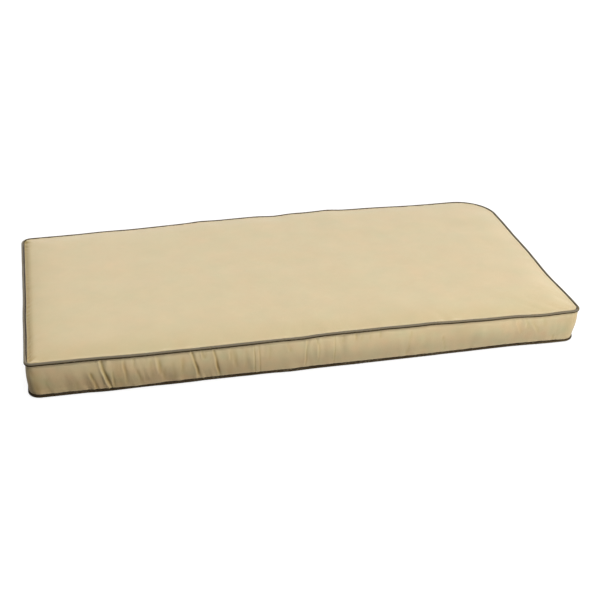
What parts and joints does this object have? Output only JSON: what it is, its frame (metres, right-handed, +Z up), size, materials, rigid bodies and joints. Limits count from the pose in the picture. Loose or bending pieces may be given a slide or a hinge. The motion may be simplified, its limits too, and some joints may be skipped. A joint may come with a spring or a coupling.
{
  "type": "bench cushion",
  "caption": "Long rectangular boxed bench cushion: a plain canvas cover, filled and crowned, with contrast round piping along its upper and lower seams.",
  "frame": {"origin": "on the resting surface, under the middle of the cushion's box", "axes": "+X along the length, +Y from the front edge to the back edge, +Z up through the thickness"},
  "size_m": [1.0301, 0.5341, 0.0744],
  "materials": {
    "canvas": "matte plain-weave canvas, warm beige",
    "piping": "matte plain-weave canvas wrapped on a cord, charcoal"
  },
  "bodies": {
    "root": {"cushion": "canvas", "top_piping": "piping", "bottom_piping": "piping"}
  },
  "joints": []
}
